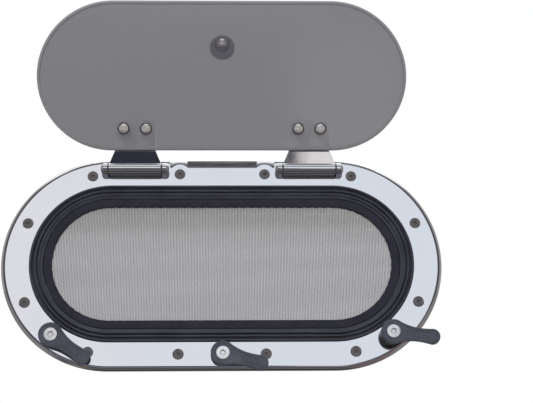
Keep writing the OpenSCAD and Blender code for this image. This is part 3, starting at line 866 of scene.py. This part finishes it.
# Lug outline: a half round about the hinge line over a straight foot on the flange; two lugs a hinge.
def makeLugs(l):
    bend = np.linspace(0, np.pi, 17)
    r, out = l["round"], lidSet["lineOut"]
    dome = np.column_stack([r * np.cos(bend), out + r * np.sin(bend)])
    down = np.linspace(out, flangeTop, 5)[1:]
    foot = np.linspace(-r, r, 7)[1:-1]
    outline = np.concatenate([dome, np.column_stack([np.full(len(down), -r), down]),
                              np.column_stack([foot, np.full(len(foot), flangeTop)]),
                              np.column_stack([np.full(len(down), r), down[::-1]])])
    core = np.column_stack([np.zeros(len(outline)), np.full(len(outline), out - l["coreDown"])])
    for name, side in hinges:
        parts = []
        for end in (-1, 1):
            points, faces = roundedPlate(outline, core, -l["thick"] / 2, l["thick"] / 2, l["edge"], 5)
            place = side * lidScrews["hinge"] + end * (l["gap"] + l["thick"]) / 2
            points = np.stack([points[:, 2] + place, points[:, 0] + lidSet["lineUp"], points[:, 1]], -1)
            parts.append((onWall(points), outward(points, faces)))
        addPiece("hingeLugs" + name.capitalize(), parts, "steel", "frame",
                 "hinge_lugs_" + name)


# Hinge pin: a straight shaft and a low dome outside each lug, the same at both ends.
def makePins(p):
    half = lug["gap"] / 2 + lug["thick"]
    bend = np.linspace(0, np.pi / 2, 8)
    end = [(p["cap"] * np.sin(b), half + p["high"] * np.cos(b)) for b in bend]
    end += [(p["cap"], half - p["clear"]), (p["shaft"], half - p["clear"])]
    line = end + [(radius, -height) for radius, height in end[::-1]]
    for name, side in hinges:
        points, faces, away = turned(line, 40)
        points = points[:, [2, 0, 1]] + [side * lidScrews["hinge"], lidSet["lineUp"], lidSet["lineOut"]]
        addPiece("hingePin" + name.capitalize(), [(onWall(points), faces, away)], "steel", "frame",
                 "hinge_pin_" + name)


button = {"head": 4.7, "high": 2.3, "side": 0.8, "socket": 1.45, "flare": 0.6, "deep": 1.0,
          "shank": 2.5, "length": 11.1, "plain": 5.0, "pitch": 0.8}
knobButton = {**button, "head": 4.2, "high": 2.2, "socket": 1.35, "length": 16.3}
washerHigh = 0.8


# Button screw: the head is a cap of the ball that passes its top and its side, rolled under at the rim, with
# a hexagon socket; the shank is plain at first and then threaded.
def buttonScrew(b):
    rise = b["high"] - b["side"]
    ball = (b["head"] ** 2 + rise ** 2) / (2 * rise)
    radii = np.linspace(b["socket"] + b["flare"] + 0.35, b["head"] - 0.05, 8)
    crown = [(r, b["high"] - ball + np.sqrt(ball ** 2 - r ** 2)) for r in radii]
    edge, r, shank, end = crown[0][1], b["head"], b["shank"], -b["length"]
    floor = edge - b["deep"]
    line = [(0, floor), (b["socket"] * 0.6, floor, 1), (b["socket"], floor, 1),
            (b["socket"], edge - b["flare"], 1), (b["socket"] + b["flare"], edge, 1)]
    line += crown + [(r, b["side"] - 0.15), (r, 0.12), (r - 0.12, 0), (shank, 0), (shank, end + b["plain"])]
    line += thread(shank, end + b["plain"] - 0.2, end + 0.5, b["pitch"])
    return turned(line + [(shank * 0.7, end), (0, end)])


# Two button screws a hinge, and a smaller one at the knob, each turned over so that its head is on the
# pane's inner face.
def makeLidScrews(b, small):
    over = np.array([1, -1, -1])
    points, faces, away = buttonScrew(b)
    for name, side in hinges:
        places = [lidScrewAt(side, end, -lidSet["inner"]) for end in (-1, 1)]
        parts = [(hung(points * over + at), faces, away) for at in places]
        piece = addPiece("lidScrews" + name.capitalize(), parts, "lidScrew", "lid",
                         "hinge_screws_" + name)
        piece.visible_shadow = False
    points, faces, away = buttonScrew(small)
    at = np.array([0, -knob["down"], -lidSet["inner"] - washerHigh])
    addPiece("knobScrew", [(hung(points * over + at), faces, away)], "brightScrew", "lid",
             "knob_screw")


# Pull knob: a waisted mushroom turned about its screw's bore: stem, rim as half an ellipse, then the face,
# a shallow dish with a ring groove.
def makeKnob(k):
    bend = np.linspace(-np.pi / 2, np.pi / 2, 9)
    rim, high, bore = k["rim"], k["high"], k["bore"]
    line = [(bore, 0)] + k["stem"]
    line += [(k["radius"] - rim["in"] + rim["wide"] * np.cos(b), high - rim["down"] + rim["high"] * np.sin(b))
             for b in bend]
    line += [(radius, high - drop) for radius, drop in k["face"]]
    line += [(0, k["boreDeep"]), (bore, k["boreDeep"]), (bore, 0)]
    points, faces, away = turned(line, 72)
    at = np.array([0, -k["down"], -lidSet["outer"]])
    addPiece("pullKnob", [(hung(points + at), faces, away)], "blackNylon", "lid", "pull_knob")


makePane(pane)
makeLeaves(leaf)
makeLugs(lug)
makePins(pin)
makeLidScrews(button, knobButton)
makeKnob(knob)


lever = {"head": 12.0, "long": 38.0, "tip": 7.7, "neck": 6.6, "neckAt": 25.0, "from": 6.0,
         "low": 5.5, "armLow": 7.5, "top": 12.9, "edge": 1.3,
         "panel": {"rim": 0.7, "depth": 0.5, "fall": [(0, 0), (0.15, 0.8), (0.4, 1)]},
         "mark": {"at": 27.0, "half": 5.5, "radius": 2.6, "wide": 0.6, "deep": 0.3},
         "seat": [(0, 4), (4.52, 4), (4.52, 8.9), (3.15, 8.9), (3.15, 8.7), (6.85, 12.4), (6.85, 12.5),
                  (7.6, 14), (0, 14)]}


# Half width of the arm: a parabola from the head down to the neck, then a slight swell to the tip.
def armHalf(l, x):
    start = np.sqrt(l["head"] ** 2 - l["from"] ** 2)
    narrow = l["neck"] + (start - l["neck"]) * ((l["neckAt"] - x) / (l["neckAt"] - l["from"])) ** 2
    swell = l["neck"] + (l["tip"] - l["neck"]) * ((x - l["neckAt"]) / (l["long"] - l["neckAt"])) ** 2
    return np.where(x < l["neckAt"], narrow, swell)


# Lever outline, clockwise from the upper shoulder: arm, round tip, arm back, round head.
def leverOutline(l):
    x = np.linspace(l["from"], l["long"], 18)
    half = armHalf(l, x)
    tip = np.linspace(np.pi / 2, -np.pi / 2, 19)[1:-1]
    reach = np.arctan2(np.sqrt(l["head"] ** 2 - l["from"] ** 2), l["from"])
    head = -np.linspace(reach, 2 * np.pi - reach, 41)[1:-1]
    upper = np.column_stack([x, half])
    end = np.column_stack([l["long"] + l["tip"] * np.cos(tip), l["tip"] * np.sin(tip)])
    lower = upper[::-1] * np.array([1, -1])
    back = np.column_stack([l["head"] * np.cos(head), l["head"] * np.sin(head)])
    return np.concatenate([upper, end, lower, back])


# A plain capsule-shaped groove for the arm's panel.
def markCutter(l):
    m = l["mark"]
    centre, angle = stadiumPath(12, 3, m["half"])
    floor = l["top"] - l["panel"]["depth"] - m["deep"]
    radius = [m["radius"], m["radius"] + m["wide"], m["radius"] + m["wide"], m["radius"]]
    points, faces = sweepStadium(radius, [floor, floor, l["top"] + 1, l["top"] + 1], centre, angle)
    return points + np.array([m["at"], 0, 0]), faces


# Lever hub as a turned part: a straight side with a small chamfer below and a wide one above.
def leverHub(l):
    r, low, top = l["head"], l["low"], l["top"]
    return turned([(0, low), (r - 0.5, low), (r - 0.1, low + 0.3), (r - 0.02, low + 0.9),
                   (r - 0.05, top - 1.6), (r - 2.5, top - 0.5), (0, top - 0.5)], 72)[:2]


# Each lever is its arm joined to its round hub, with the screw's seat and the groove cut in, and its screw.
def makeLevers(l):
    outline = leverOutline(l)[::-1]
    core = np.column_stack([np.clip(outline[:, 0], 0, l["long"]), np.zeros(len(outline))])
    arm = roundedPlate(outline, core, l["armLow"], l["top"], l["edge"], 7, l["panel"])
    screw, screwFaces, away = countersunkScrew(screwHeads["pivot"])
    nylon = finishes["leverNylon"]
    for name, place in levers.items():
        spin = turnedBy(np.radians(place["turn"]))
        at = np.array([*place["pivot"], place["lift"]])
        points, faces = arm
        piece = makeMesh("lever" + name.capitalize(), [(onWall(points @ spin + at), faces)], nylon)
        points, faces = leverHub(l)
        combine(piece, makeMesh("hub", [(onWall(points @ spin + at), faces)], nylon), "UNION")
        points, faces = turned(l["seat"], 64)[:2]
        combine(piece, makeMesh("seat", [(onWall(points + at), faces)], nylon))
        points, faces = markCutter(l)
        combine(piece, makeMesh("mark", [(onWall(points @ spin + at), faces)], nylon))
        settle(piece, name + "_lever", "lever_" + name)
        points = onWall(screw @ spin + at + np.array([0, 0, l["top"]]))
        addPiece("pivotScrew" + name.capitalize(), [(points, screwFaces, away)], "brightScrew",
                 name + "_pivot", f"lever_{name}_screw")


makeLevers(lever)


kept = {
    "machined": ["spigot_ring", "lever_bosses"],
    "blackNylon": ["hinge_washers_left", "hinge_washers_right", "pane_bushes"],
    "greyNylon": ["knob_washer"],
    "screenPlastic": ["screen_back_ring"],
    "brass": ["lever_left_bush", "lever_centre_bush", "lever_right_bush"],
    "brightScrew": ["lever_left_washer", "lever_centre_washer", "lever_right_washer"],
}


# Gives each CAD node that stays its finish.
def dressKept(kept):
    for finish, names in kept.items():
        for name in names:
            mesh = nodes[name].data
            mesh.materials.clear()
            mesh.materials.append(finishes[finish])


dressKept(kept)


floorSet = {"height": -0.46, "half": 6.0}


# A wide pale square under the part.
def makeFloor(f):
    h = f["half"]
    mesh = bpy.data.meshes.new("floor")
    corners = [(x, y, f["height"]) for x, y in ((-h, -h), (h, -h), (h, h), (-h, h))]
    mesh.from_pydata(corners, [], [(0, 1, 2, 3)])
    mesh.materials.append(finishes["floor"])
    floor = bpy.data.objects.new("floor", mesh)
    bpy.context.scene.collection.objects.link(floor)
    floor.visible_glossy = False


makeFloor(floorSet)
print("floor laid")
